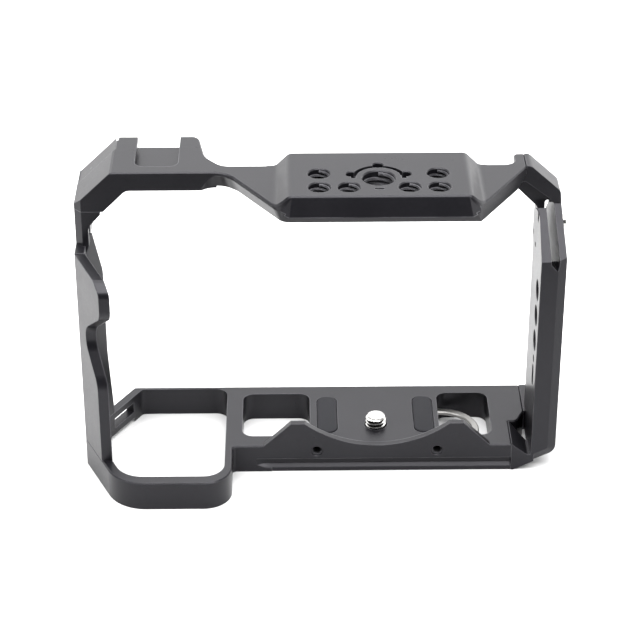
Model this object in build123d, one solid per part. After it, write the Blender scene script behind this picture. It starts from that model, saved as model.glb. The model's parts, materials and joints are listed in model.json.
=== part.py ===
from build123d import *
from math import atan2, cos, degrees, hypot, radians, sin, tan
import os

# A camera cage: four machined aluminium members screwed together round a camera body, with a captive
# tripod screw, two rubber pads, and a ring-handled driver that a magnet keeps under the base.
# Frame: origin where the camera screw's axis meets the camera seat, which is the top face of the base.
# +X points to the port side, +Y to the back of the camera, +Z up. Millimetres.

# ---- base plate
base_thick = 9.5
base_front = 12.4           # seat axis to the front face
base_rear = 23.2            # seat axis to the rear face
base_end_front = 42.3       # port-side end of the base along its front rail
base_end_rear = 47.8        # port-side end of the base along its rear rail
base_end_step = 1.2         # where the end turns out towards the rear rail
edge_break = 0.4            # small bevel on machined edges

# ---- grip ring of the base, open so that the grip and battery door pass through
ring_front = 32.7
ring_right = 45.4
ring_front_wall = 3.9
ring_side_wall = 2.2
ring_rear_wall = 1.3
ring_corner_front = 13.0
ring_corner_side = 8.5
ring_seat_wall = 6.5        # thick wall that carries the grip side bar
left_face = 91.6            # seat axis to the outer face on the grip side
fold_front = 6.9            # where the outer face folds forwards
fold_rear = 0.0             # where the outer face folds backwards
slant_front = 24.5          # degrees from Y
slant_rear = 30.0
lug_slot_length = 11.0      # strap slot through the rear diagonal wall
lug_slot_height = 3.6
lug_slot_back = 2.5         # its middle behind the middle of the diagonal
lug_relief = 1.4            # under the diagonal
lug_relief_start = 3.0      # behind the seat axis

# ---- windows and pads
window_front = 6.5
window_rear = 18.5
window_corner = 3.5
left_window = (-42.4, -20.9)
right_window = (20.2, 36.7)
pad_offset = 15.4
pad_width = 6.4
pad_front = 5.0
pad_rear = 16.4
pad_thick = 1.6
pad_proud = 0.35

# ---- dovetail foot
groove_depth = 1.3
groove_top = 4.8            # below the seat
dovetail_top = 7.0
dovetail_foot = 8.1
foot_setback = 0.2
groove_start = 33.0         # full depth from here to the port-side end
cutter_radius = 10.0        # run-out of the groove

# ---- wave lip along the front
lip_thick = 2.1
lip_height = 8.1
lip_top_half = 27.0
lip_foot_half = 35.4
lip_arc_radius = 36.0
lip_arc_low = 0.1           # height of the arc's lowest point above the seat
lip_hole_half = 18.9
lip_hole_depth = 2.1        # below the seat
lip_hole_radius = 1.6
lip_hole_length = 4.5

# ---- camera screw, 1/4 inch
screw_radius = 3.175
screw_proud = 3.4
screw_tip = 0.55            # bevel at the tip
neck_radius = 2.6           # plain neck below the thread, gripped by the retaining ring
screw_hole_radius = 3.6
head_radius = 6.5
head_height = 2.6
head_pocket_radius = 7.2
head_pocket_top = 4.4       # below the seat
head_floor_gap = 0.3        # head above the plane of the foot
washer_radius = 6.0
washer_thick = 0.5
slot_width = 1.4
slot_depth = 1.3
ring_cord = 1.0             # height of the rubber retaining ring
ring_drop = 1.0             # its top below the seat
ring_outer = 4.2            # bottom of its groove
run_gap = 0.06              # running clearance, on the radius

# ---- ring-handled driver under the base
driver_x = 21.5
driver_y = 5.0
driver_outer = 12.0
driver_inner = 9.6
driver_thick = 1.4
driver_top = 4.9            # below the seat
driver_turn = 160.0         # degrees, direction of its blade
blade_length = 15.0         # beyond the ring
blade_width = 5.0
blade_tip = 0.8
driver_gap = 0.4
driver_roof_gap = 0.15
magnet_radius = 2.0
magnet_thick = 2.0
magnet_reach = 20.0         # ring centre to magnet

# ---- heights of the upper members above the seat
seam_left = 77.5
arm_top = 90.5
slab_thick = 5.4
block_thick = 6.0           # of the shoe block, over its leg
deck_rise = 4.0

# ---- top plate
block_front = 2.2
block_rear = 23.0
chamfer_top_x = 80.1        # where the grip side's bevel leaves the top face
chamfer_foot = 79.4         # height at which it reaches the outer face
leg_thick = 8.8
block_right = 54.6          # rear right corner of the shoe block
block_waist = 2.3           # its right side moves in towards the arm
block_waist_back = 6.6
shoe_centre = -66.65
shoe_gap = 13.0
shoe_width = 18.8
shoe_depth = 3.7            # floor below the top face
shoe_lip = 1.6
shoe_front = 2.0
lug_slit_x = -79.4
lug_slit_width = 0.8
lug_slit_length = 2.6
lug_recess_length = 10.0
lug_recess_depth = 0.5
arm_bend = 45.6             # where the slab's front edge turns forwards
deck_left = 29.9
deck_right = 27.6
deck_front = 26.3
deck_rear = 2.15
deck_round_left = 6.0
deck_round_right = 4.0
deck_flat_left = -26.0
deck_flat_right = 24.6
deck_ramp = 4.0             # run of the slope between the deck's top and the arms
ramp_crest = 1.0            # from the end of the flat top to the slope's upper corner
ramp_round = 2.5            # at the slope's head and foot
deck_edge = 0.5             # bevel along the front of the deck's top
nose_proud = 2.5            # foot of the leaning front panel, in front of the wall
nose_drop = 5.8             # and below the deck's top
nose_spread_left = 3.4      # its foot is wider than the flat top
nose_spread_right = 3.8
nose_end = 2.4              # length of the slanted ends, along the foot
bevel_in = 1.9              # bevel under the front edge
bevel_up = 4.2
bevel_start = 48.6          # where its cutter comes in under the arm
bevel_cutter = 6.4
arm_end = 44.0              # port-side seam
arm_end_front = 0.8
arm_end_rear = 9.5
arm_hook = 40.8
arm_end_bevel = 2.9
quarter_radius = 3.175
quarter_sink = 0.35
hole_centre = -0.8
hole_pitch_inner = 8.8
hole_pitch_outer = 17.4
hole_row_front = 20.4
hole_row_rear = 11.5
big_radius = 4.7625
big_sink = 0.4
big_y = 14.5
pin_circle = 8.4
pin_radius = 1.55
pin_depth = 4.0
arc_radius = 7.4
arc_width = 1.4
arc_depth = 1.6
arc_start = -2.0            # degrees, from +X round the back of the centre hole
pin_turns = (18, 90, 162)
slit_length = 2.8            # in front of the centre hole
slit_width = 0.8
slit_front = 7.1            # its distance from the hole's centre

# ---- grip side bar
bar_sheet = 3.0
bar_rib = 4.1               # thickness of the upper part
bar_head = 7.9              # thickness at the seam with the top plate
bar_corner = 2.2
bar_hollow = 7.5            # from the seam down to where the rear edge leaves the block
rear_wing = 6.2             # reach of the rear wing behind the seat axis
rear_wing_waist = 24.0      # height at which its edge is upright
rear_wing_flare = 1.8       # further reach at the foot
rear_wing_top = 53.0        # where it starts to draw in
rear_wing_rise = 5.0        # its end above the shelf
rear_wing_end = 1.5         # reach at its end
bar_foot = 7.0
shelf_height = 66.0
wing_low = 20.0             # reach in front of the seat axis, at the bottom
wing_waist = 12.5
wing_nose = 25.0
wing_waist_height = 40.6
wing_shoulder_height = 27.8
wing_nose_length = 8.0
flange_drop = 5.2

# ---- port side plate
port_face = 56.2
port_inner = 48.4
port_inner_rear = 51.3
port_rear = 10.8
port_ear = 13.6
port_bend = 64.8            # height where the front edge starts to lean back
port_shoulder = 82.0        # height where it meets the slope of the strap
port_shoulder_x = 54.7
port_top_end = 45.4         # end of the flat top
port_corner = 3.4
port_round = 2.0            # at the shoulder and the end of the flat top
port_facet = 2.6            # bevel round the front's outer and lower edge, on the front face
port_facet_depth = 1.2
port_toe = 43.0             # where the slanted underside starts
port_toe_rise = 6.3
port_notch = 3.9            # floor of the notch beside the base, below the seat
port_pit = 7.0              # floor of the deeper pit behind it
strap_thick = 5.2
strap_lip = 1.5
boss_left = 41.5
boss_low = 75.8
port_hole_y = -6.0
port_hole_top = 51.8
port_hole_pitch = 8.85
port_small_z = 27.6
port_slot_low = 18.0
port_slot_length = 7.4
port_slot_width = 3.4
lug_wall = 2.3              # between the strap slot and the outer face
lug_width = 2.5
lug_outer = port_face - lug_wall
lug_inner = lug_outer - lug_width
lug_low = 64.0
lug_top = 78.4
lug_point = 2.4             # depth of the pointed foot
lug_fall = 14.0             # its foot is lower at the back
lug_fall_start = 10.0       # in front of the seat axis
lug_skew = 4.5              # degrees: it runs inwards on its way to the back
side_screw_z = 72.5
side_screw_length = 1.5     # ends short of the strap slot
side_head_radius = 1.9
side_head_height = 1.2

# ---- fasteners
shank_radius = 1.25
cap_radius = 2.25
cap_height = 1.5
socket_half = 0.75
thread_gap = 0.03
shank_gap = 0.15
cap_gap = 0.2
tongue_start = 29.6
tongue_thick = 2.8
tongue_wall = 1.0
bottom_left_y = (-7.4, -1.8)
bottom_left_x = 88.35
bottom_left_thread = 5.5
bottom_right_y = (10.0, 17.2)
bottom_right_seat = 50.4
bottom_right_thread = 5.0
top_left_x = 86.4
top_left_y = (1.8, 17.8)
top_left_seat = 1.6
top_left_thread = 5.0
top_right_x = (32.8, 37.4)
top_right_y = (-5.6, -1.9)
top_right_thread = 2.0

# levels that follow from the sizes above
slab_under = arm_top - slab_thick
block_under = arm_top - block_thick
deck_top = arm_top + deck_rise


def block(x0, x1, y0, y1, z0, z1):
    """A box given by its limits."""
    centre = Pos((x0 + x1) / 2, (y0 + y1) / 2, (z0 + z1) / 2)
    return centre * Box(abs(x1 - x0), abs(y1 - y0), abs(z1 - z0))


def outline(corners):
    """A face whose corners are (u, v) or (u, v, radius)."""
    points = [corner[:2] for corner in corners]
    radii = [corner[2] if len(corner) > 2 else 0 for corner in corners]
    return make_face(FilletPolyline(*points, radius=radii, close=True))


def along_z(corners, z0, z1):
    """An outline in X and Y, extruded from z0 up to z1."""
    return extrude(Pos(0, 0, z0) * outline(corners), z1 - z0)


def along_y(corners, y0, y1):
    """An outline in X and Z, extruded from y1 forwards to y0."""
    plane = Plane((0, y1, 0), x_dir=(1, 0, 0), z_dir=(0, -1, 0))
    return extrude(plane * outline(corners), y1 - y0)


def along_x(corners, x0, x1):
    """An outline in Y and Z, extruded from x0 to x1."""
    plane = Plane((x0, 0, 0), x_dir=(0, 1, 0), z_dir=(1, 0, 0))
    return extrude(plane * outline(corners), x1 - x0)


def rod_z(x, y, z0, z1, radius):
    return Pos(x, y, (z0 + z1) / 2) * Cylinder(radius, z1 - z0)


def rod_y(x, z, y0, y1, radius):
    return Pos(x, (y0 + y1) / 2, z) * Rot(90, 0, 0) * Cylinder(radius, y1 - y0)


def rod_x(y, z, x0, x1, radius):
    return Pos((x0 + x1) / 2, y, z) * Rot(0, 90, 0) * Cylinder(radius, x1 - x0)


def tapped(depth, radius, sink):
    """A hole along -Z from the origin, with a bevelled mouth."""
    mouth = Pos(0, 0, -sink / 2) * Cone(radius, radius + sink, sink)
    return Pos(0, 0, -depth / 2) * Cylinder(radius, depth) + mouth


def slanted(distance, inset):
    """The point on the outer wall's forward slant, at a distance from its fold and moved inwards."""
    x = -left_face + distance * sin(radians(slant_front)) + inset * cos(radians(slant_front))
    y = -fold_front - distance * cos(radians(slant_front)) + inset * sin(radians(slant_front))
    return x, y


def slant_at(front, inset):
    """X of the forward slant where it reaches the given distance in front of the seat axis."""
    start = slanted(0, inset)
    return start[0] + (front + start[1]) * tan(radians(slant_front))


def rear_slant_at(rear, inset):
    """X of the rear diagonal where it reaches the given distance behind the seat axis."""
    return -left_face + (rear - fold_rear) * tan(radians(slant_rear)) + inset / cos(radians(slant_rear))


# ---------------------------------------------------------------- base plate

def base_plate():
    outer = [
        (-ring_right, -base_front, 1.2),
        (-ring_right, -ring_front, ring_corner_side),
        (slant_at(ring_front, 0), -ring_front, ring_corner_front),
        (-left_face, -fold_front),
        (-left_face, fold_rear),
        (rear_slant_at(base_rear, 0), base_rear, 1.0),
        (base_end_rear, base_rear),
        (base_end_rear, base_end_step + 6.0, 2.0),
        (base_end_front + 2.9, base_end_step + 0.3, 2.0),
        (base_end_front, base_end_step),
        (base_end_front, -base_front),
    ]
    body = along_z(outer, -base_thick, 0)
    body = chamfer(body.faces().sort_by(Axis.Z)[-1].edges(), edge_break)

    ring_inner_front = ring_front - ring_front_wall
    ring_inner_right = ring_right + ring_side_wall
    ring_inner_rear = base_rear - ring_rear_wall
    seat_inner = -left_face + ring_seat_wall
    grip = [
        (-ring_inner_right, -ring_inner_front, ring_corner_side - ring_side_wall),
        (slant_at(ring_inner_front, bar_sheet), -ring_inner_front, ring_corner_front - ring_front_wall),
        (seat_inner,
         -fold_front - (seat_inner - slant_at(fold_front, bar_sheet)) / tan(radians(slant_front)), 2.0),
        (seat_inner,
         fold_rear + (seat_inner - rear_slant_at(fold_rear, bar_sheet)) / tan(radians(slant_rear)), 2.0),
        (rear_slant_at(ring_inner_rear, bar_sheet), ring_inner_rear, 2.0),
        (-ring_inner_right, ring_inner_rear, 4.0),
    ]
    body -= along_z(grip, -base_thick - 1, 1)

    for low, high in (left_window, right_window):
        corners = [(low, -window_front, window_corner), (high, -window_front, window_corner),
                   (high, window_rear, window_corner), (low, window_rear, window_corner)]
        body -= along_z(corners, -base_thick - 1, 1)

    for side in (-1, 1):
        body -= pad_shape(side, -pad_thick + pad_proud, 1, pad_width / 2 + 0.1)

    # wave lip
    lip_profile = [(-lip_foot_half - 1, -1), (-lip_foot_half, 0), (-lip_top_half, lip_height),
                   (lip_top_half, lip_height), (lip_foot_half, 0), (lip_foot_half + 1, -1)]
    lip = along_y(lip_profile, -base_front, -base_front + lip_thick)
    arc_height = lip_arc_radius + lip_arc_low
    lip -= rod_y(0, arc_height, -base_front - 1, -base_front + lip_thick + 1, lip_arc_radius)
    body += lip

    for side in (-1, 1):
        mouth = Pos(side * lip_hole_half, -base_front, -lip_hole_depth) * Rot(90, 0, 0)
        body -= mouth * tapped(lip_hole_length, lip_hole_radius, 0.3)

    body -= dovetail_cut(-1, -base_front) + dovetail_cut(1, base_rear)
    body -= screw_pocket() + driver_pocket()
    body -= lug_slot()
    body -= block(-left_face - 1, rear_slant_at(base_rear, 0), lug_relief_start, base_rear + 1,
                  -base_thick - 1, -base_thick + lug_relief)

    for y in bottom_left_y:
        body -= Pos(-bottom_left_x, y, -base_thick) * Rot(180, 0, 0) * cap_screw_hole(base_thick + 1)
    for y in bottom_right_y:
        body -= rod_x(y, -base_thick / 2, base_end_rear - bottom_right_thread, base_end_rear + 1,
                      shank_radius + thread_gap)
    return body


def pad_shape(side, z0, z1, half):
    """A pad with round ends, or the pocket that holds it."""
    grow = half - pad_width / 2
    x = side * pad_offset
    corners = [(x - half, -pad_front - grow, half - 0.3), (x + half, -pad_front - grow, half - 0.3),
               (x + half, pad_rear + grow, half - 0.3), (x - half, pad_rear + grow, half - 0.3)]
    return along_z(corners, z0, z1)


def dovetail_cut(direction, face):
    """The groove above the foot, with the cutter's round run-out at the grip end."""
    inner = face - direction * groove_depth
    foot = face - direction * foot_setback
    past = face + direction
    profile = [(past, -groove_top), (inner, -groove_top), (inner, -dovetail_top),
               (foot, -dovetail_foot), (foot, -base_thick - 1), (past, -base_thick - 1)]
    groove = along_x(profile, -groove_start, base_end_rear + 1)
    centre_y = inner + direction * cutter_radius
    slope = groove_depth - foot_setback
    disc = rod_z(-groove_start, centre_y, -dovetail_top, -groove_top, cutter_radius)
    cone_height = dovetail_foot - dovetail_top
    cone = Pos(-groove_start, centre_y, -dovetail_foot + cone_height / 2)
    cone *= Cone(cutter_radius - slope, cutter_radius, cone_height)
    return groove + disc + cone


def lug_slot():
    """The strap slot, level with the floor, through the rear diagonal wall."""
    middle = (fold_rear + base_rear) / 2 + lug_slot_back
    x = rear_slant_at(middle, 0)
    slot = Box(4 * bar_sheet, lug_slot_length, lug_slot_height)
    return Pos(x, middle, (-base_thick + lug_relief) / 2) * Rot(0, 0, -slant_rear) * slot


def screw_pocket():
    pocket = rod_z(0, 0, -base_thick - 1, -head_pocket_top, head_pocket_radius)
    bore = rod_z(0, 0, -base_thick, 1, screw_hole_radius)
    groove = rod_z(0, 0, -ring_drop - ring_cord, -ring_drop, ring_outer)
    return pocket + bore + groove


# ---------------------------------------------------------------- camera screw

def camera_screw():
    seat = -base_thick + head_floor_gap + head_height
    low = seat - head_height
    head = rod_z(0, 0, low, seat, head_radius)
    head = chamfer(head.edges().filter_by(GeomType.CIRCLE), 0.3)
    neck = rod_z(0, 0, seat - 0.5, 0, neck_radius)
    shoulder = screw_radius - neck_radius
    stud = Pos(0, 0, -shoulder / 2) * Cone(neck_radius, screw_radius, shoulder)
    stud += rod_z(0, 0, 0, screw_proud - screw_tip, screw_radius)
    stud += Pos(0, 0, screw_proud - screw_tip / 2) * Cone(screw_radius, screw_radius - screw_tip, screw_tip)
    slot = block(-head_radius - 1, head_radius + 1, -slot_width / 2, slot_width / 2, low - 1, low + slot_depth)
    return head + neck + stud - slot


def screw_washer():
    low = -base_thick + head_floor_gap + head_height
    disc = rod_z(0, 0, low, low + washer_thick, washer_radius)
    return disc - rod_z(0, 0, low - 1, low + 1, neck_radius + run_gap)


def screw_retaining_ring():
    """A rubber ring in the bore's groove, round the neck, which keeps the screw captive."""
    low = -ring_drop - ring_cord
    ring = rod_z(0, 0, low, -ring_drop, ring_outer)
    return ring - rod_z(0, 0, low - 1, 0, neck_radius + run_gap)


# ---------------------------------------------------------------- driver

def driver_outline(grow):
    """The driver's plan, about its ring's centre, with the blade along +X."""
    half = blade_width / 2 + grow
    end = driver_outer + blade_length + grow
    corners = [(driver_inner, -half), (end, -half, 0.8), (end, half, 0.8), (driver_inner, half)]
    return outline(corners) + Circle(driver_outer + grow)


def driver_place(z):
    return Pos(driver_x, driver_y, z) * Rot(0, 0, driver_turn)


def driver():
    low = -driver_top - driver_thick
    body = extrude(driver_outline(0) - Circle(driver_inner), driver_thick)
    rims = body.edges().filter_by(GeomType.CIRCLE).filter_by(lambda edge: edge.radius > 5)
    body = chamfer(rims, 0.3)
    end = driver_outer + blade_length
    wedge = (driver_thick - blade_tip) / 2
    for side in (0, 1):
        edge_z = side * driver_thick
        inner_z = edge_z + (wedge if side == 0 else -wedge)
        cut = [(end + 0.1, edge_z), (end - 4.0, edge_z), (end + 0.1, inner_z)]
        body -= along_y(cut, -blade_width, blade_width)
    return driver_place(low) * body


def driver_pocket():
    """The pocket in the underside, open below, with the magnet's seat in its roof."""
    roof = -driver_top + driver_roof_gap
    pocket = extrude(driver_outline(driver_gap), base_thick + roof + 1)
    x, y = magnet_centre()
    seat = rod_z(x, y, roof - 1, roof + magnet_thick, magnet_radius + 0.02)
    return driver_place(-base_thick - 1) * pocket + seat


def magnet_centre():
    angle = radians(driver_turn)
    return driver_x + magnet_reach * cos(angle), driver_y + magnet_reach * sin(angle)


def driver_magnet():
    roof = -driver_top + driver_roof_gap
    x, y = magnet_centre()
    return rod_z(x, y, roof, roof + magnet_thick, magnet_radius)


# ---------------------------------------------------------------- fasteners

def cap_screw(length):
    """A socket cap screw whose head stands on the origin and whose shank runs down from it."""
    head = rod_z(0, 0, 0, cap_height, cap_radius)
    head = chamfer(head.edges().filter_by(GeomType.CIRCLE).sort_by(Axis.Z)[-1], 0.25)
    shank = rod_z(0, 0, -length, 0.2, shank_radius)
    shank = chamfer(shank.edges().filter_by(GeomType.CIRCLE).sort_by(Axis.Z)[0], 0.25)
    socket = extrude(Pos(0, 0, cap_height - 0.9) * RegularPolygon(socket_half, 6, major_radius=False), 2)
    return head + shank - socket


def cap_screw_hole(depth, reach=1.0):
    """Room for a sunk cap screw, below a face at the origin and running down from it."""
    sink = cap_height + cap_gap
    head = rod_z(0, 0, -sink, reach, cap_radius + cap_gap)
    return head + rod_z(0, 0, -depth, -sink + 0.1, shank_radius + shank_gap)


def thread_hole(depth):
    """A tapped hole below the origin."""
    return rod_z(0, 0, -depth, 1, shank_radius + thread_gap)


def bottom_left_place(y):
    """The sunk seat of the screw's head in the underside of the base, with +Z down."""
    return Pos(-bottom_left_x, y, -base_thick + cap_height + cap_gap) * Rot(180, 0, 0)


def bottom_right_place(y):
    """The seat of the screw's head in the port side plate, with +Z outwards."""
    return Pos(bottom_right_seat, y, -base_thick / 2) * Rot(0, 90, 0)


def top_left_place(y):
    """The seat of the screw's head under the bar's flange, with +Z down."""
    return Pos(-top_left_x, y, seam_left - top_left_seat) * Rot(180, 0, 0)


def top_right_place(x, y):
    """The sunk seat of the screw's head in the underside of the tongue, with +Z down."""
    return Pos(x, y, slab_under + cap_height + cap_gap) * Rot(180, 0, 0)


def side_screw_place():
    """The foot of the outer side screw's head, with +Z out of the leaning outer face."""
    lean = degrees(atan2(port_face - port_shoulder_x, port_shoulder - port_bend))
    x = port_face - (side_screw_z - port_bend) * tan(radians(lean))
    return Pos(x, 0, side_screw_z) * Rot(0, 90 - lean, 0)


# ---------------------------------------------------------------- top plate

def plate_outline(extra=0.0):
    """The slab's plan, from the shoe block to the port-side end or a little beyond it."""
    front = [
        (-shoe_edge, -block_front),
        (-arm_bend, -block_front, 8.0),
        (-deck_left, -deck_front, deck_round_left),
        (deck_right, -deck_front, deck_round_right),
        (arm_end, arm_end_front),
    ]
    rear = [
        (arm_end + extra, arm_end_rear),
        (arm_hook, arm_end_rear, 1.0),
        (arm_hook, deck_rear, 3.6),
        (-arm_bend - 1.4, deck_rear, 5.0),
        (-block_right + block_waist, deck_rear + block_waist_back, 10.0),
        (-block_right, block_rear, 2.5),
        (-shoe_edge, block_rear),
    ]
    if extra > 0:
        front.append((arm_end + extra, arm_end_front))
    return front + rear


# inner edge of the shoe block, buried in it
shoe_edge = -shoe_centre + shoe_width / 2 - 12.0


def deck_block():
    """The raised deck, with a rounded ramp at either end and a bevel along its front."""
    left = deck_flat_left - ramp_crest
    right = deck_flat_right + ramp_crest
    past = deck_ramp + ramp_round
    profile = [
        (left - past, arm_top - 1),
        (left - past, arm_top),
        (left - deck_ramp, arm_top, ramp_round),
        (left, deck_top, ramp_round),
        (right, deck_top, ramp_round),
        (right + deck_ramp, arm_top, ramp_round),
        (right + past, arm_top),
        (right + past, arm_top - 1),
    ]
    deck = along_z(plate_outline(), arm_top - 1, deck_top) & along_y(profile, -deck_front - 1, deck_rear + 1)
    front_top = deck.edges().filter_by(Axis.X).group_by(Axis.Z)[-1].sort_by(Axis.Y)[0]
    return chamfer(front_top, deck_edge)


def nose():
    """The panel on the deck's front, which leans back and has slanted ends."""
    top = deck_top - deck_edge
    foot = deck_top - nose_drop
    out = -deck_front - nose_proud
    body = along_x([(-deck_front + 1, top), (-deck_front, top), (out, foot), (-deck_front + 1, foot)],
                   deck_flat_left - nose_spread_left, deck_flat_right + nose_spread_right)
    for end, spread, side in ((deck_flat_left, nose_spread_left, -1), (deck_flat_right, nose_spread_right, 1)):
        head = Vector(end, -deck_front, deck_top)
        outer = Vector(end + side * spread, -deck_front, foot)
        inner = Vector(end + side * (spread - nose_end), out, foot)
        normal = (outer - head).cross(inner - head) * -side
        body = split(body, bisect_by=Plane(origin=head, z_dir=normal), keep=Keep.BOTTOM)
    return body


def under_bevel():
    """What the bevel under the arm and the deck takes away, with its cutter's round run-in."""
    far = left_face
    core = [
        (-far, -block_front),
        (-arm_bend, -block_front, 8.0),
        (-deck_left, -deck_front, deck_round_left),
        (far, -deck_front),
        (far, far),
        (-far, far),
    ]
    core = along_z(core, slab_under, slab_under + 2 * bevel_up)
    under = core.faces().sort_by(Axis.Z)[0]
    rim = under.edges().filter_by(lambda edge: edge.center().Y < deck_rear)
    core = chamfer(rim, bevel_in, bevel_up, reference=under)
    cut = block(-bevel_start, arm_end, -deck_front - 1, bevel_in, slab_under - 1, slab_under + bevel_up)
    cut -= core + Pos(0, 0, -1) * extrude(core.faces().sort_by(Axis.Z)[0], -1)
    axis_y = -block_front + bevel_in - bevel_cutter
    run_in = Cone(bevel_cutter, bevel_cutter - bevel_in, bevel_up)
    run_in = Pos(-bevel_start, axis_y, slab_under + bevel_up / 2) * run_in
    return cut + run_in + rod_z(-bevel_start, axis_y, block_under - 1, slab_under, bevel_cutter)


def top_plate():
    leg_inner = -left_face + leg_thick
    left_profile = [
        (-shoe_edge, arm_top),
        (-chamfer_top_x, arm_top),
        (-left_face, chamfer_foot),
        (-left_face, seam_left),
        (leg_inner, seam_left),
        (leg_inner + block_under - seam_left, block_under, 3.0),
        (-shoe_edge, block_under),
    ]
    body = along_y(left_profile, -block_front, block_rear)
    body += along_z(plate_outline(), slab_under, arm_top)
    thick = block(-shoe_edge - 1, -bevel_start, -block_front - 1, block_rear + 1, block_under, slab_under + 1)
    body += along_z(plate_outline(), block_under, slab_under + 1) & thick
    body = chamfer(body.faces().filter_by(Axis.Z).sort_by(Axis.Z)[-1].edges(), edge_break)

    body += deck_block() + nose()
    body -= under_bevel()
    body -= outer_corner()

    # cold shoe
    half_gap = shoe_gap / 2
    floor = arm_top - shoe_depth
    opening = [(shoe_centre - half_gap, shoe_front, 3.0), (shoe_centre + half_gap, shoe_front, 3.0),
               (shoe_centre + half_gap, block_rear + 1), (shoe_centre - half_gap, block_rear + 1)]
    body -= along_z(opening, floor, arm_top + 1)
    half = shoe_width / 2
    channel = [(shoe_centre - half, shoe_front, 3.0), (shoe_centre + half, shoe_front, 3.0),
               (shoe_centre + half, block_rear + 1), (shoe_centre - half, block_rear + 1)]
    body -= along_z(channel, floor, arm_top - shoe_lip)

    # strap slit, and the shallow recess beside it over the bevel
    x0 = lug_slit_x - lug_slit_width / 2
    x1 = lug_slit_x + lug_slit_width / 2
    body -= block(x0, x1, block_rear - lug_slit_length, block_rear + 1, seam_left, arm_top + 1)
    recess = [(-left_face - 2, block_rear + 1), (-left_face - 2, block_rear - lug_recess_length),
              (x1, block_rear - lug_recess_length, 3.0), (x1, block_rear + 1)]
    body -= bevel_skin(lug_recess_depth) & along_z(recess, seam_left, arm_top + 1)

    # threaded holes of the deck
    for x, y in deck_holes():
        body -= Pos(x, y, deck_top) * tapped(slab_thick + deck_rise + 1, quarter_radius, quarter_sink)
    body -= Pos(hole_centre, -big_y, deck_top) * tapped(slab_thick + deck_rise + 1, big_radius, big_sink)
    for turn in pin_turns:
        place = Pos(hole_centre, -big_y, deck_top) * Rot(0, 0, turn) * Pos(pin_circle, 0, 0)
        body -= place * tapped(pin_depth, pin_radius, 0.3)
    body -= arc_groove()
    slit_y = -big_y - slit_front
    body -= block(hole_centre - slit_length / 2, hole_centre + slit_length / 2, slit_y - slit_width / 2,
                  slit_y + slit_width / 2, deck_top - 1.2, deck_top + 1)

    # port-side end
    bevel = [(arm_end - arm_end_bevel, slab_under), (arm_end, slab_under + arm_end_bevel),
             (arm_end + 1, slab_under + arm_end_bevel), (arm_end + 1, slab_under - 1),
             (arm_end - arm_end_bevel, slab_under - 1)]
    body -= along_y(bevel, -deck_front, block_rear)
    body -= tongue(arm_end)

    for y in top_left_y:
        body -= Pos(-top_left_x, y, seam_left) * Rot(180, 0, 0) * thread_hole(top_left_thread)
    for x, y in zip(top_right_x, top_right_y):
        body -= Pos(x, y, slab_under + tongue_thick) * Rot(180, 0, 0) * thread_hole(top_right_thread)
    return body


def bevel_skin(depth):
    """The outer skin of the grip-side bevel, down to a depth."""
    turn = atan2(arm_top - chamfer_foot, left_face - chamfer_top_x)
    inward = (depth * sin(turn), -depth * cos(turn))
    skin = [(-left_face - 3, chamfer_foot), (-left_face - 3, arm_top + 2), (-chamfer_top_x + 3, arm_top + 2),
            (-chamfer_top_x + inward[0], arm_top + inward[1]),
            (-left_face + inward[0], chamfer_foot + inward[1])]
    return along_y(skin, -block_front - 1, block_rear + 1)


def deck_holes():
    """Centres of the 1/4 inch holes: four in the front row, the outer two in the rear row."""
    offsets = (-hole_pitch_outer, -hole_pitch_inner, hole_pitch_inner, hole_pitch_outer)
    front = [(hole_centre + offset, -hole_row_front) for offset in offsets]
    rear = [(hole_centre + offset, -hole_row_rear) for offset in (offsets[0], offsets[-1])]
    return front + rear


def arc_groove():
    """A groove that joins the locating holes round the back of the centre hole."""
    outer = Circle(arc_radius + arc_width / 2) - Circle(arc_radius - arc_width / 2)
    reach = 2 * arc_radius
    low = reach * tan(radians(arc_start))
    sector = Polygon((0, 0), (reach, low), (reach, reach), (-reach, reach), (-reach, low), align=None)
    groove = extrude(outer & sector, arc_depth + 1)
    return Pos(hole_centre, -big_y, deck_top - arc_depth) * groove


def tongue(end):
    """The side plate's tongue, which lies in a pocket under the slab."""
    plan = offset(outline(plate_outline(8)), -tongue_wall)
    plate = extrude(Pos(0, 0, slab_under) * plan, tongue_thick)
    return plate & block(tongue_start, end, -deck_front, block_rear, slab_under, slab_under + tongue_thick)


# ---------------------------------------------------------------- grip side bar

def outer_corner():
    """What the bevel on the front outer corner takes away, from the bar's shelf up through the block."""
    return along_z([(-left_face - 1, -block_front + bar_corner + 1), (-left_face - 1, -block_front - 1),
                    (-left_face + bar_corner + 1, -block_front - 1)], shelf_height, arm_top + 1)


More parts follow.
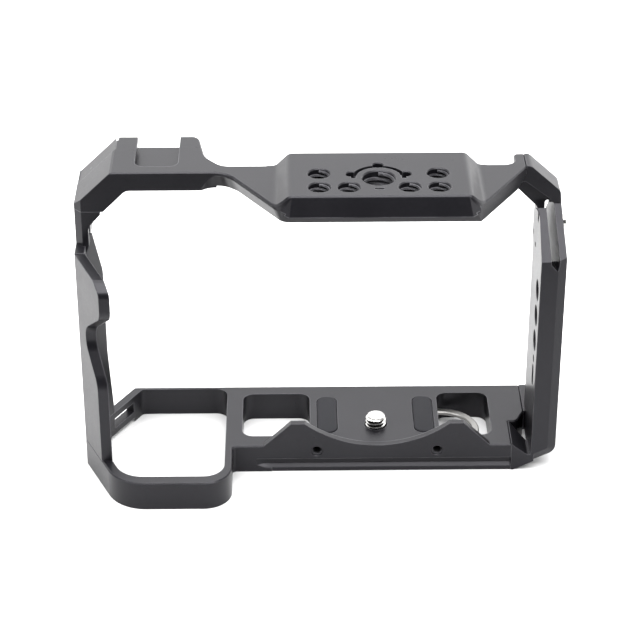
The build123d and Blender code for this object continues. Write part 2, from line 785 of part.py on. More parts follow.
def grip_side_bar():
    profile = [
        (-fold_front, 0),
        (-fold_front, shelf_height),
        (-block_front, shelf_height),
        (-block_front, seam_left),
        (block_rear, seam_left),
        (block_rear, seam_left - bar_hollow, 6.0),
        (fold_rear, rear_wing_top, 16.0),
        (fold_rear, 0),
    ]
    body = along_x(profile, -left_face, -left_face + bar_sheet)

    rib_inner = -left_face + bar_rib
    leg_inner = -left_face + bar_head
    flange_low = seam_left - flange_drop
    flange_round = min(4.5, 0.55 * (flange_low - shelf_height))
    head = [
        (-left_face, shelf_height - 3.0),
        (-left_face + bar_sheet, shelf_height - 3.0),
        (rib_inner, shelf_height),
        (rib_inner, flange_low, flange_round),
        (leg_inner, seam_left - 1.0),
        (leg_inner, seam_left),
        (-left_face, seam_left),
    ]
    rib = along_y(head, -block_front, block_rear)
    body += rib & along_x(profile, -left_face, leg_inner + 1)

    # slanted wing and the foot
    inner_start = (bar_sheet - bar_sheet * cos(radians(slant_front))) / sin(radians(slant_front))
    reach = (wing_nose + 2 - fold_front) / cos(radians(slant_front))
    wing = along_z([slanted(0, 0), slanted(reach, 0),
                    slanted(reach, bar_sheet), slanted(inner_start, bar_sheet),
                    (-left_face + bar_sheet, -fold_front + 1.5), (-left_face, -fold_front + 1.5)],
                   0, shelf_height)
    contour = [
        (-fold_front + 3, 0),
        (-wing_low, 0),
        (-wing_low, wing_shoulder_height, 8.0),
        (-wing_waist, wing_waist_height - 3.0, 6.0),
        (-wing_waist, wing_waist_height + 3.0, 6.0),
        (-wing_nose, shelf_height - 4.5 - wing_nose_length, 5.0),
        (-wing_nose, shelf_height - 4.5, 2.5),
        (-wing_nose + 3.5, shelf_height - 1.5, 2.0),
        (-fold_front + 3, shelf_height),
    ]
    body += wing & along_x(contour, -left_face - 1, 0)

    # the rear wing, which follows the base's rear diagonal
    rear_reach = rear_wing + rear_wing_flare + 1
    rear_top = shelf_height + rear_wing_rise
    rear = along_z([
        (-left_face, fold_rear - 1.5),
        (-left_face, fold_rear),
        (rear_slant_at(rear_reach, 0), rear_reach),
        (rear_slant_at(rear_reach, bar_sheet), rear_reach),
        (-left_face + bar_sheet,
         fold_rear + (bar_sheet - bar_sheet / cos(radians(slant_rear))) / tan(radians(slant_rear))),
        (-left_face + bar_sheet, fold_rear - 1.5),
    ], 0, rear_top)
    rear_contour = [
        (fold_rear - 3, 0),
        (rear_wing + rear_wing_flare, 0),
        (rear_wing, rear_wing_waist, 20.0),
        (rear_wing, rear_wing_top, 12.0),
        (fold_rear + rear_wing_end, rear_top),
        (fold_rear - 3, rear_top),
    ]
    body += rear & along_x(rear_contour, -left_face - 1, 0)

    seat_inner = -left_face + ring_seat_wall
    foot_reach = (ring_seat_wall - bar_sheet * cos(radians(slant_front))) / sin(radians(slant_front))
    foot = along_z([slanted(0, 0), slanted(foot_reach, 0), slanted(foot_reach, bar_sheet),
                    (seat_inner, fold_rear), (-left_face, fold_rear)], 0, bar_foot)
    slope = [(-left_face + bar_sheet, bar_foot), (seat_inner, bar_foot - 4.0), (seat_inner + 1, bar_foot - 4.0),
             (seat_inner + 1, bar_foot + 1), (-left_face + bar_sheet, bar_foot + 1)]
    body += foot - along_y(slope, -ring_front - 1, base_rear)

    body -= outer_corner()

    for y in bottom_left_y:
        body -= Pos(-bottom_left_x, y, 0) * Rot(180, 0, 0) * thread_hole(bottom_left_thread)
    for y in top_left_y:
        body -= top_left_place(y) * Pos(0, 0, cap_height + cap_gap) * cap_screw_hole(9, 6)
    return body


# ---------------------------------------------------------------- port side plate

def toe_height(x):
    """Height of the slanted underside."""
    share = (x - port_toe) / (port_face - port_toe)
    return -base_thick + port_toe_rise * share


def port_rim():
    """A larger block with the facet round its front's outer and lower edges, which trims the wall."""
    left = boss_left - 1
    body = along_y([
        (left, toe_height(left)),
        (port_face, toe_height(port_face), port_corner),
        (port_face, arm_top + 1),
        (left, arm_top + 1),
    ], -base_front, base_rear)
    front_face = body.faces().sort_by(Axis.Y)[0]
    rim = front_face.edges().filter_by(lambda edge: edge.center().X > boss_left and edge.center().Z < arm_top)
    return chamfer(rim, port_facet, port_facet_depth, reference=front_face)


def port_side_plate():
    wall = along_y([
        (port_inner, toe_height(port_inner)),
        (port_face, toe_height(port_face), port_corner),
        (port_face, port_bend),
        (port_shoulder_x, port_shoulder, port_round),
        (port_top_end, arm_top, port_round),
        (arm_end, arm_top),
        (arm_end, slab_under + arm_end_bevel),
        (arm_end - arm_end_bevel, slab_under),
        (boss_left, slab_under),
        (boss_left, boss_low + port_inner - boss_left),
        (port_inner, boss_low, 4.0),
    ], -base_front, base_rear)
    wall &= port_rim()
    foot = along_y([
        (base_end_front, -base_thick),
        (port_toe, -base_thick),
        (port_inner + 1, toe_height(port_inner + 1)),
        (port_inner + 1, -port_notch),
        (port_inner - 1, -port_notch),
        (base_end_front, 0),
    ], -base_front, base_end_step)
    foot -= along_z([(port_inner - 0.2, -base_front / 3), (base_end_front + 0.4, base_end_step),
                     (port_inner + 1.5, base_end_step + 1), (port_inner + 1.5, -base_front / 3)],
                    -port_pit, 1) & block(base_end_front, port_inner, -base_front, base_end_step + 1, -20, 1)
    flange = along_y([
        (base_end_rear, toe_height(base_end_rear)),
        (port_inner_rear + 1, toe_height(port_inner_rear + 1)),
        (port_inner_rear + 1, 0),
        (base_end_rear, 0),
    ], base_end_step + 6.0, base_rear)
    body = wall + foot + flange

    side = along_x([
        (-base_front, -base_thick),
        (-base_front, port_bend),
        (arm_end_front, port_bend + arm_end_front + base_front),
        (arm_end_front, arm_top),
        (arm_end_rear, arm_top),
        (arm_end_rear, port_bend + 9.5, 2.0),
        (port_ear, port_bend + 5.0, 3.0),
        (port_ear, port_bend - 2.5, 3.0),
        (port_rear, port_bend - 6.0, 3.0),
        (port_rear, 20.0, 10.0),
        (base_rear, 3.0, 3.0),
        (base_rear, -base_thick),
    ], boss_left - 1, port_face + 1)
    body &= side
    body -= block(port_inner - 1, port_inner_rear, port_rear, base_rear + 1, 0, 25.0)

    # front lip of the strap: the boss stands back behind it
    lip_back = arm_end_front + strap_lip
    under_strap = along_y([
        (boss_left - 1, arm_top - strap_thick + 0.001),
        (arm_end - 0.001, arm_top - strap_thick + 0.001),
        (port_shoulder_x - 3.2, port_shoulder - strap_thick + 2.7),
        (port_inner + 1.0, boss_low - 4.0),
        (boss_left - 1, boss_low - 4.0),
    ], arm_end_front - 1, lip_back)
    body -= under_strap

    # strap slot along Y
    slot = along_y([(lug_inner, lug_low), (lug_outer - 0.5, lug_low - lug_point), (lug_outer, lug_low - 0.5),
                    (lug_outer, lug_top, 0.8), (lug_inner, lug_top, 0.8)],
                   -base_front - 1, port_ear + 1)
    slot += along_x([(-lug_fall_start, lug_low), (port_ear + 1, lug_low), (port_ear + 1, lug_low - lug_fall)],
                    lug_inner, lug_outer)
    body -= Pos(lug_inner, -base_front) * Rot(0, 0, lug_skew) * Pos(-lug_inner, base_front) * slot

    # holes of the inner face
    for row in range(3):
        z = port_hole_top - row * port_hole_pitch
        body -= Pos(port_inner, port_hole_y, z) * Rot(0, -90, 0) * tapped(12, quarter_radius, quarter_sink)
    body -= rod_x(port_hole_y, port_small_z, port_inner - 1, port_inner + 4, 1.3)
    z0 = port_slot_low + port_slot_width / 2
    z1 = z0 + port_slot_length - port_slot_width
    slot = rod_x(port_hole_y, z0, port_inner - 1, port_face + 1, port_slot_width / 2)
    slot += rod_x(port_hole_y, z1, port_inner - 1, port_face + 1, port_slot_width / 2)
    slot += block(port_inner - 1, port_face + 1, port_hole_y - port_slot_width / 2,
                  port_hole_y + port_slot_width / 2, z0, z1)
    body -= slot
    for y, z in ((5.0, port_bend), (port_ear - 2.6, port_bend + 1.4)):
        body -= rod_x(y, z - 3.0, port_inner - 1, port_inner + 1.8, 0.9)

    body += tongue(arm_end)

    for y in bottom_right_y:
        body -= bottom_right_place(y) * Pos(0, 0, cap_height + cap_gap) * cap_screw_hole(9, 8)
    for x, y in zip(top_right_x, top_right_y):
        body -= top_right_place(x, y) * Pos(0, 0, cap_height + cap_gap) * cap_screw_hole(9, 3)
    body -= side_screw_place() * rod_z(0, 0, -side_screw_length - 0.2, 1, shank_radius + thread_gap)
    return body


def outer_side_screw():
    head = rod_z(0, 0, 0, side_head_height, side_head_radius)
    head = chamfer(head.edges().filter_by(GeomType.CIRCLE).sort_by(Axis.Z)[-1], 0.25)
    shank = rod_z(0, 0, -side_screw_length, 0.2, shank_radius)
    slot = block(-side_head_radius - 1, side_head_radius + 1, -0.25, 0.25,
                 side_head_height / 2, side_head_height + 1)
    return side_screw_place() * (head + shank - slot)


def main():
    parts = {}
    parts["top_plate"] = top_plate()
    parts["grip_side_bar"] = grip_side_bar()
    parts["port_side_plate"] = port_side_plate()
    parts["base_plate"] = base_plate()
    parts["left_pad"] = pad_shape(-1, -pad_thick + pad_proud, pad_proud, pad_width / 2)
    parts["right_pad"] = pad_shape(1, -pad_thick + pad_proud, pad_proud, pad_width / 2)
    parts["camera_screw"] = camera_screw()
    parts["screw_washer"] = screw_washer()
    parts["screw_retaining_ring"] = screw_retaining_ring()
    parts["driver"] = driver()
    parts["driver_magnet"] = driver_magnet()
    parts["outer_side_screw"] = outer_side_screw()
    sunk = base_thick - cap_height - cap_gap
    for name, y in zip(("front", "rear"), bottom_left_y):
        parts[f"bottom_left_{name}_screw"] = bottom_left_place(y) * cap_screw(sunk + bottom_left_thread - 0.5)
    for name, y in zip(("front", "rear"), bottom_right_y):
        length = bottom_right_seat - base_end_rear + bottom_right_thread - 0.5
        parts[f"bottom_right_{name}_screw"] = bottom_right_place(y) * cap_screw(length)
    for name, y in zip(("front", "rear"), top_left_y):
        parts[f"top_left_{name}_screw"] = top_left_place(y) * cap_screw(top_left_seat + top_left_thread - 0.5)
    sunk = tongue_thick - cap_height - cap_gap
    for name, x, y in zip(("front", "rear"), top_right_x, top_right_y):
        parts[f"top_right_{name}_screw"] = top_right_place(x, y) * cap_screw(sunk + top_right_thread - 0.3)

    os.makedirs("parts", exist_ok=True)
    for name, solid in parts.items():
        solid.label = name
        export_step(solid, f"parts/{name}.step")


main()
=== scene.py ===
import json
import math

import bmesh
import bpy
from mathutils import Matrix, Vector


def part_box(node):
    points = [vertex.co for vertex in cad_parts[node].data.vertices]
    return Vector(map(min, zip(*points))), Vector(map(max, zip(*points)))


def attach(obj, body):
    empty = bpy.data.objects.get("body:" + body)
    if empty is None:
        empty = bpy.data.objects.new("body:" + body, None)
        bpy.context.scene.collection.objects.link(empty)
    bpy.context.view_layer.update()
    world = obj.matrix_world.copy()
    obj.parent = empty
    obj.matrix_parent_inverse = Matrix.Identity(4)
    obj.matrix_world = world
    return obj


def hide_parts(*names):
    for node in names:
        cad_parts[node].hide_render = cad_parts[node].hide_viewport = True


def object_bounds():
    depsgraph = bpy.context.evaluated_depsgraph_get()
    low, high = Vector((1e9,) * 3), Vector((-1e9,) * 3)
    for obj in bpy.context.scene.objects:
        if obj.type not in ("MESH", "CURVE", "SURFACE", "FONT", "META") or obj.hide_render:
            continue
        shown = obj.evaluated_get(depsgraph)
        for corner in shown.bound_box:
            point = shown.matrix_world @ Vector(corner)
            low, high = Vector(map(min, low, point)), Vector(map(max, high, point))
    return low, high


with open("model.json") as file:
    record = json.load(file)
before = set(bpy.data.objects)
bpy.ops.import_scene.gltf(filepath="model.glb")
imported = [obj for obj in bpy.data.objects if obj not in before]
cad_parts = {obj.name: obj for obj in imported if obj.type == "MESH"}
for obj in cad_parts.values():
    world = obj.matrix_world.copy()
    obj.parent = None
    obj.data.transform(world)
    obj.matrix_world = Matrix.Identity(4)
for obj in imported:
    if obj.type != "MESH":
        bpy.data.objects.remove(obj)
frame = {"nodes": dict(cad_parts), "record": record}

nodes = frame["nodes"]
mounts = {mount["name"]: mount for mount in frame["record"]["mounts"]}
mm = 0.001
# vertices closer than these are one: while a shape is made, and once it is finished
seamGap = 0.001 * mm
weldGap = 0.0005 * mm
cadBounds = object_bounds()
print("frame loaded:", len(nodes), "nodes")


class Wire:
    # one socket of a node tree; arithmetic on it adds Math nodes
    def __init__(self, tree, socket=None):
        self.tree = tree
        self.socket = socket

    def node(self, kind, settings=None, sockets=None, output=0):
        # settings go first, because some of them change which sockets there are
        made = self.tree.nodes.new(kind)
        for name, value in (settings or {}).items():
            setattr(made, name, value)
        for name, value in (sockets or {}).items():
            if isinstance(value, Wire):
                self.tree.links.new(value.socket, made.inputs[name])
            else:
                made.inputs[name].default_value = value
        return Wire(self.tree, made.outputs[output])

    def maths(self, operation, *values, clamp=False):
        settings = {"operation": operation, "use_clamp": clamp}
        return self.node("ShaderNodeMath", settings, dict(enumerate(values)))

    def __add__(self, other):
        return self.maths("ADD", self, other)

    __radd__ = __add__

    def __sub__(self, other):
        return self.maths("SUBTRACT", self, other)

    def __rsub__(self, other):
        return self.maths("SUBTRACT", other, self)

    def __mul__(self, other):
        return self.maths("MULTIPLY", self, other)

    __rmul__ = __mul__

    def sine(self):
        return self.maths("SINE", self)

    def clamped(self):
        return self.maths("ADD", self, 0.0, clamp=True)

    def between(self, low, high):
        # 0 at low, 1 at high and straight between them
        return self.node("ShaderNodeMapRange", {}, {"Value": self, "From Min": low, "From Max": high})


def mixColours(factor, low, high):
    # inputs 0, 6 and 7 of a colour Mix node are its factor and its two colours
    low, high = (colour if isinstance(colour, Wire) else (*colour, 1) for colour in (low, high))
    return factor.node("ShaderNodeMix", {"data_type": "RGBA"}, {0: factor, 6: low, 7: high}, output=2)


def startMaterial(name):
    material = bpy.data.materials.new(name)
    material.use_nodes = True
    tree = material.node_tree
    place = Wire(tree).node("ShaderNodeTexCoord", output="Object")
    return material, tree.nodes["Principled BSDF"], place


def noise(place, size, detail, stretch=None):
    # blobs about size metres across, longer along the axes whose stretch is above 1
    if stretch:
        scale = tuple(1 / share for share in stretch)
        place = place.node("ShaderNodeMapping", {}, {"Vector": place, "Scale": scale})
    return place.node("ShaderNodeTexNoise", {}, {"Vector": place, "Scale": 1 / size, "Detail": detail})


def connect(shader, **values):
    for name, value in values.items():
        socket = shader.inputs[name.replace("_", " ")]
        if isinstance(value, Wire):
            value.tree.links.new(value.socket, socket)
        else:
            socket.default_value = value


def bumped(height, settings):
    # an edge radius rounds the corners of the shading, as tumbling rounds the real ones
    sockets = {"Strength": settings["bump"], "Distance": settings["relief"], "Height": height}
    if "edge" in settings:
        sockets["Normal"] = height.node("ShaderNodeBevel", {"samples": 4}, {"Radius": settings["edge"]})
    return height.node("ShaderNodeBump", {}, sockets)


def shades(tone, settings):
    return mixColours(tone.clamped(), settings["dark"], settings["light"])


def gloss(tone, settings):
    return settings["roughness"] + tone * settings["spread"]


# bead-blasted and dyed black: the colour clouds slowly, the blasting gives a fine even grain
anodised = {
    "dark": (0.0045, 0.0044, 0.0056),
    "light": (0.0092, 0.0089, 0.0108),
    "roughness": 0.32,
    "spread": 0.10,
    "ior": 1.34,
    "tint": (0.95, 0.94, 1.0, 1),
    "grain": 0.22 * mm,
    "speck": 0.7 * mm,
    "cloud": 13 * mm,
    "grainShare": 0.65,
    "bump": 0.30,
    "relief": 0.03 * mm,
    "edge": 0.35 * mm,
    "rubbed": 2.4 * mm,
    "rubbedStretch": (8, 1, 1),
    "rubbedPatches": (0.56, 0.76),
    "rubbedGloss": 0.03,
    # painted highlight: a lighter colour along the outer edges, in patches, standing in for their bright
    # reflections
    "wornColour": (0.085, 0.084, 0.092),
    "wornWidth": 0.30 * mm,
    "worn": (0.10, 0.42),
    "wornPatches": (0.25, 0.6),
}


def anodisedAluminium():
    material, shader, place = startMaterial("blackAnodisedAluminium")
    cloud = noise(place, anodised["cloud"], detail=4)
    grain = noise(place, anodised["grain"], detail=3)
    speck = noise(place, anodised["speck"], detail=2)
    dye = shades(cloud * 0.5 + speck * 0.5, anodised)
    # painted highlight: looking inwards, only the outer corners have another face close by, and there the
    # colour is lightened to stand in for bright edge reflections
    inside = place.node("ShaderNodeAmbientOcclusion", {"inside": True, "only_local": True, "samples": 6},
                        {"Distance": anodised["wornWidth"]}, "AO")
    worn = (1 - inside).between(*anodised["worn"]) * cloud.between(*anodised["wornPatches"])
    rubbed = noise(place, anodised["rubbed"], detail=3, stretch=anodised["rubbedStretch"])
    polish = rubbed.between(*anodised["rubbedPatches"]) * anodised["rubbedGloss"]
    roughness = gloss(cloud - 0.5 + (speck - 0.5), anodised) - polish
    height = grain * anodised["grainShare"] + speck * (1 - anodised["grainShare"])
    # the base colour is lightened along the outer edges as a painted highlight
    connect(shader, Base_Color=mixColours(worn, dye, anodised["wornColour"]), Roughness=roughness.clamped(),
            IOR=anodised["ior"], Specular_Tint=anodised["tint"], Normal=bumped(height, anodised))
    return material


oxide = {
    "dark": (0.018, 0.017, 0.017),
    "light": (0.045, 0.043, 0.042),
    "roughness": 0.30,
    "spread": 0.14,
    "metallic": 0.85,
    "grain": 0.09 * mm,
    "cloud": 1.3 * mm,
    "bump": 0.15,
    "relief": 0.02 * mm,
    "edge": 0.1 * mm,
}


def blackOxide():
    material, shader, place = startMaterial("blackOxideSteel")
    grain = noise(place, oxide["grain"], detail=2)
    cloud = noise(place, oxide["cloud"], detail=3)
    connect(shader, Base_Color=shades(cloud, oxide), Roughness=gloss(cloud, oxide),
            Metallic=oxide["metallic"], Normal=bumped(grain, oxide))
    return material


turned = {
    "dark": (0.46, 0.455, 0.44),
    "light": (0.58, 0.575, 0.56),
    "roughness": 0.20,
    "spread": 0.14,
    "feed": 0.11 * mm,
    "slant": 0.8,
    "ringShare": 0.3,
    "cloud": 0.8 * mm,
    "bump": 0.15,
    "relief": 0.012 * mm,
    "threadRootColour": (0.06, 0.058, 0.055),
    "root": (2.70 * mm, 3.0 * mm),
    "tip": (2.2 * mm, 2.25 * mm),
    "seat": (-0.1 * mm, 0.0),
}


def turnedSteel():
    # the lathe leaves rings about the screw's own axis, which is the scene's Z
    material, shader, place = startMaterial("turnedSteel")
    radial = place.node("ShaderNodeVectorMath", {"operation": "MULTIPLY"}, {0: place, 1: (1, 1, 0)})
    radius = place.node("ShaderNodeVectorMath", {"operation": "LENGTH"}, {0: radial}, "Value")
    height = place.node("ShaderNodeSeparateXYZ", {}, {"Vector": place}, "Z")
    rings = ((radius + height * turned["slant"]) * (2 * math.pi / turned["feed"])).sine()
    cloud = noise(place, turned["cloud"], detail=4)
    # the roots of the thread, between the seat and the tip, are coloured darker than the crests
    crest = radius.between(*turned["root"])
    plain = height.between(*turned["tip"]) + (1 - height.between(*turned["seat"]))
    colour = mixColours((crest + plain).clamped(), turned["threadRootColour"], shades(cloud, turned))
    connect(shader, Base_Color=colour, Roughness=gloss(cloud, turned), Metallic=1.0,
            Normal=bumped(rings * turned["ringShare"] + cloud, turned))
    return material


brushed = {
    "dark": (0.15, 0.147, 0.142),
    "light": (0.27, 0.266, 0.258),
    "roughness": 0.28,
    "spread": 0.18,
    "streak": 0.08 * mm,
    "streakStretch": (30, 1, 1),
    "streakShare": 0.6,
    "cloud": 3 * mm,
    "bump": 0.12,
    "relief": 0.02 * mm,
}


def brushedSteel():
    material, shader, place = startMaterial("brushedSteel")
    streak = noise(place, brushed["streak"], detail=2, stretch=brushed["streakStretch"])
    cloud = noise(place, brushed["cloud"], detail=3)
    tone = streak * brushed["streakShare"] + cloud * (1 - brushed["streakShare"])
    connect(shader, Base_Color=shades(tone, brushed), Roughness=gloss(streak, brushed), Metallic=1.0,
            Normal=bumped(streak, brushed))
    return material


pads = {
    "dark": (0.007, 0.007, 0.009),
    "light": (0.014, 0.014, 0.017),
    "roughness": 0.72,
    "spread": 0.16,
    "ior": 1.30,
    "grain": 0.16 * mm,
    "cloud": 3.5 * mm,
    "bump": 0.40,
    "relief": 0.05 * mm,
}


def rubber():
    material, shader, place = startMaterial("matRubber")
    grain = noise(place, pads["grain"], detail=3)
    cloud = noise(place, pads["cloud"], detail=3)
    connect(shader, Base_Color=shades(cloud, pads), Roughness=gloss(cloud, pads), IOR=pads["ior"],
            Normal=bumped(grain, pads))
    return material


nylon = {
    "dark": (0.62, 0.60, 0.54),
    "light": (0.74, 0.72, 0.67),
    "roughness": 0.42,
    "spread": 0.16,
    "cloud": 1.1 * mm,
    "bump": 0.1,
    "relief": 0.05 * mm,
}


def naturalNylon():
    material, shader, place = startMaterial("naturalNylon")
    cloud = noise(place, nylon["cloud"], detail=3)
    connect(shader, Base_Color=shades(cloud, nylon), Roughness=gloss(cloud, nylon),
            Normal=bumped(cloud, nylon))
    return material


nickel = {
    "dark": (0.58, 0.56, 0.52),
    "light": (0.70, 0.68, 0.64),
    "roughness": 0.14,
    "spread": 0.12,
    "cloud": 0.7 * mm,
    "bump": 0.05,
    "relief": 0.02 * mm,
}


def nickelPlate():
    material, shader, place = startMaterial("nickelPlate")
    cloud = noise(place, nickel["cloud"], detail=4)
    connect(shader, Base_Color=shades(cloud, nickel), Roughness=gloss(cloud, nickel), Metallic=1.0,
            Normal=bumped(cloud, nickel))
    return material


finishes = {
    "black_aluminium": anodisedAluminium(),
    "black_steel": blackOxide(),
    "bright_steel": turnedSteel(),
    "rubber_pad": rubber(),
    "nylon": naturalNylon(),
    "plated_magnet": nickelPlate(),
}
slotOf = {part["node"]: part["material_slot"] for part in frame["record"]["subparts"]}
for name, node in nodes.items():
    node.data.materials.clear()
    node.data.materials.append(finishes[slotOf[name]])
# the driver is brushed, though it shares its slot with turned screws
nodes["driver"].data.materials[0] = brushedSteel()
print("materials done")


def keep(name, shape, body, slotName, smooth=40):
    # turns a finished bmesh into a piece on a body
    bmesh.ops.remove_doubles(shape, verts=shape.verts, dist=weldGap)
    bmesh.ops.recalc_face_normals(shape, faces=shape.faces)
    mesh = bpy.data.meshes.new(name)
    shape.to_mesh(mesh)
    shape.free()
    mesh.materials.append(finishes[slotName])
    mesh.shade_smooth()
    mesh.set_sharp_from_angle(angle=math.radians(smooth))
    piece = bpy.data.objects.new(name, mesh)
    bpy.context.scene.collection.objects.link(piece)
    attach(piece, body)
    return piece


def chain(shape, points):
    # vertices joined in a row by edges
    verts = [shape.verts.new(point) for point in points]
    edges = [shape.edges.new(pair) for pair in zip(verts, verts[1:])]
    return verts + edges


def lathe(shape, profile, steps=64):
    # profile is (radius, height) pairs, spun about Z
    geometry = chain(shape, [(radius, 0, height) for radius, height in profile])
    bmesh.ops.spin(shape, geom=geometry, cent=(0, 0, 0), axis=(0, 0, 1), angle=2 * math.pi,
                   steps=steps, use_merge=True)


def helix(shape, geometry, pitch, steps, count):
    # geometry swept up about Z in count steps, with so many steps to a turn
    bmesh.ops.spin(shape, geom=geometry, cent=(0, 0, 0), axis=(0, 0, 1), angle=2 * math.pi * count / steps,
                   dvec=(0, 0, pitch / steps), steps=count)


def cutOff(shape, place, outward):
    geometry = shape.verts[:] + shape.edges[:] + shape.faces[:]
    bmesh.ops.bisect_plane(shape, geom=geometry, plane_co=place, plane_no=outward, clear_outer=True)


def closeHoles(shape):
    bmesh.ops.holes_fill(shape, edges=[edge for edge in shape.edges if edge.is_boundary], sides=0)


def setRadius(vert, radius):
    # moves a vertex straight out from Z, or in
    share = radius / vert.co.xy.length
    vert.co.x *= share
    vert.co.y *= share


cameraScrewSizes = {
    "pitch": 1.27 * mm,
    "depth": 0.62 * mm,
    # shares of the pitch, each with 0 at the thread's root or 1 at its crest
    "thread": ((0.0, 0), (0.22, 0), (0.44, 1), (0.56, 1), (0.78, 0)),
    "steps": 64,
    "threadFoot": -0.3 * mm,
    "tipBevel": 0.55 * mm,
    "neckRadius": 2.6 * mm,
    "neckTop": -0.1 * mm,
    "headHeight": 2.6 * mm,
    "headBevel": 0.3 * mm,
    "slot": 1.4 * mm,
    "slotDepth": 1.3 * mm,
}


def threadedStud(shape, top):
    # a helical surface: one turn of a long zigzag, whose last column meets the first one a pitch higher
    sizes = cameraScrewSizes
    crest = mounts["camera_screw"]["dims"]["r_mm"] * mm
    radii = (crest - sizes["depth"], crest)
    pitch = sizes["pitch"]
    # the zigzag runs past the stud at both ends, and is cut off there
    turns = range(-1, int(top / pitch) + 3)
    profile = [(radii[end], 0, (turn + share) * pitch) for turn in turns for share, end in sizes["thread"]]
    helix(shape, chain(shape, profile), pitch, sizes["steps"], sizes["steps"])
    bmesh.ops.remove_doubles(shape, verts=shape.verts, dist=seamGap)
    cutOff(shape, (0, 0, sizes["threadFoot"]), (0, 0, -1))
    cutOff(shape, (0, 0, top), (0, 0, 1))
    for vert in shape.verts:
        limit = crest - max(0.0, vert.co.z - (top - sizes["tipBevel"]))
        if vert.co.xy.length > limit:
            setRadius(vert, limit)
    closeHoles(shape)


def slottedHead(shape, radius, under):
    # the neck and the upper part of the head, then the lower part in two halves beside the slot
    sizes = cameraScrewSizes
    neck = sizes["neckRadius"]
    bevel = sizes["headBevel"]
    seat = under + sizes["headHeight"]
    middle = under + sizes["slotDepth"]
    lathe(shape, [(0, sizes["neckTop"]), (neck, sizes["neckTop"]), (neck, seat), (radius - bevel, seat),
                  (radius, seat - bevel), (radius, middle), (0, middle)])
    for side in (-1, 1):
        half = bmesh.new()
        lathe(half, [(0, middle), (radius, middle), (radius, under + bevel),
                     (radius - bevel, under), (0, under)])
        bmesh.ops.remove_doubles(half, verts=half.verts, dist=seamGap)
        cutOff(half, (0, side * sizes["slot"] / 2, 0), (0, -side, 0))
        closeHoles(half)
        part = bpy.data.meshes.new("half")
        half.to_mesh(part)
        half.free()
        shape.from_mesh(part)
        bpy.data.meshes.remove(part)


def cameraScrew():
    low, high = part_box("camera_screw")
    shape = bmesh.new()
    threadedStud(shape, high.z)
    slottedHead(shape, high.x, low.z)
    piece = keep("camera_screw_threaded", shape, "camera_screw", "bright_steel", smooth=30)
    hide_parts("camera_screw")


threads = {
    "quarter": {"pitch": 1.27 * mm, "depth": 0.55 * mm},
    "threeEighths": {"pitch": 1.5875 * mm, "depth": 0.70 * mm},
    "small": {"pitch": 0.7 * mm, "depth": 0.33 * mm},
    # shares of the pitch, each with 0 at the hole's wall or 1 at the ridge's crest
    "ridge": ((0.06, 0), (0.42, 1), (0.54, 1), (0.90, 0)),
    "sunk": 0.02 * mm,
    "steps": 40,
    # the ridge fades over this share of a pitch at either end, down to this share of its height
    "runOut": 0.5,
    "faintest": 0.05,
    # the ridge starts this far below the mouth, and is this much shorter than its hole
    "start": 0.4 * mm,
    "shortfall": 0.6 * mm,
    # the height that the deck's holes reach down to, and the depths of the others
    "deckUnder": 85.1 * mm,
    "sideDepth": 8.0 * mm,
    "lipDepth": 4.5 * mm,
    # the side holes open this far beyond the length that their mount gives
    "sideMouth": 0.3 * mm,
}


def tappedThread(name, kind, radius, mouth, outward, length):
    # the helical ridge inside a tapped hole, from its mouth inwards
    pitch = threads[kind]["pitch"]
    steps = threads["steps"]
    wall = radius + threads["sunk"]
    radii = (wall, radius - threads[kind]["depth"])
    shape = bmesh.new()
    section = [shape.verts.new((radii[end], 0, share * pitch)) for share, end in threads["ridge"]]
    helix(shape, [shape.faces.new(section)], pitch, steps, int((length - pitch) / pitch * steps))
    # the ridge runs out into the wall at either end
    for vert in shape.verts:
        endGap = min(vert.co.z, length - vert.co.z)
        share = min(1.0, max(threads["faintest"], endGap / (threads["runOut"] * pitch)))
        setRadius(vert, wall - (wall - vert.co.xy.length) * share)
    turn = Vector((0, 0, 1)).rotation_difference(-Vector(outward)).to_matrix().to_4x4()
    bmesh.ops.transform(shape, matrix=Matrix.Translation(mouth) @ turn, verts=shape.verts)
    keep(name, shape, "cage", "black_aluminium")


def halfSpacing(mount, axis):
    return mount["dims"][f"spacing_{axis}_mm"] * mm / 2


def beside(mount, x, y=0.0):
    # a place so far from a mount's own
    return Vector(mount["pos_m"]) + Vector((x, y, 0))


def holeRows():
    # the tapped holes that the record's mounts give: kind, radius, mouth, outward direction, length
    corner = mounts["deck_corner_holes"]
    inner = mounts["deck_inner_holes"]
    centre = mounts["deck_centre_hole"]
    side = mounts["port_side_holes"]
    middle = mounts["port_side_middle_hole"]
    lip = mounts["front_lip_holes"]
    radius = corner["dims"]["hole_r_mm"] * mm
    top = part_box("top_plate")[1].z
    depth = top - threads["deckUnder"]
    up = (0, 0, 1)
    holes = []
    for x in (-1, 1):
        for y in (-1, 1):
            place = beside(corner, x * halfSpacing(corner, "x"), y * halfSpacing(corner, "y"))
            holes.append(("quarter", radius, place, up, depth))
        holes.append(("quarter", radius, beside(inner, x * halfSpacing(inner, "x")), up, depth))
    place = Vector((*centre["pos_m"][:2], top))
    holes.append(("threeEighths", centre["dims"]["r_mm"] * mm, place, up, depth))
    inward = middle["dims"]["length_mm"] * mm / 2 + threads["sideMouth"]
    for row in (-1, 0, 1):
        height = side["pos_m"][2] + row * halfSpacing(side, "y")
        place = Vector((middle["pos_m"][0] - inward, side["pos_m"][1], height))
        holes.append(("quarter", radius, place, (-1, 0, 0), threads["sideDepth"]))
    for x in (-1, 1):
        place = beside(lip, x * halfSpacing(lip, "x"))
        holes.append(("small", lip["dims"]["hole_r_mm"] * mm, place, (0, -1, 0), threads["lipDepth"]))
    return holes


for count, (kind, radius, mouth, outward, length) in enumerate(holeRows(), 1):
    start = mouth - Vector(outward) * threads["start"]
    tappedThread(f"thread_{count:02d}", kind, radius, start, outward, length - threads["shortfall"])
cameraScrew()
print("threads and camera screw done")


padForm = {"around": 48, "round": 0.55 * mm, "roundSteps": 4}


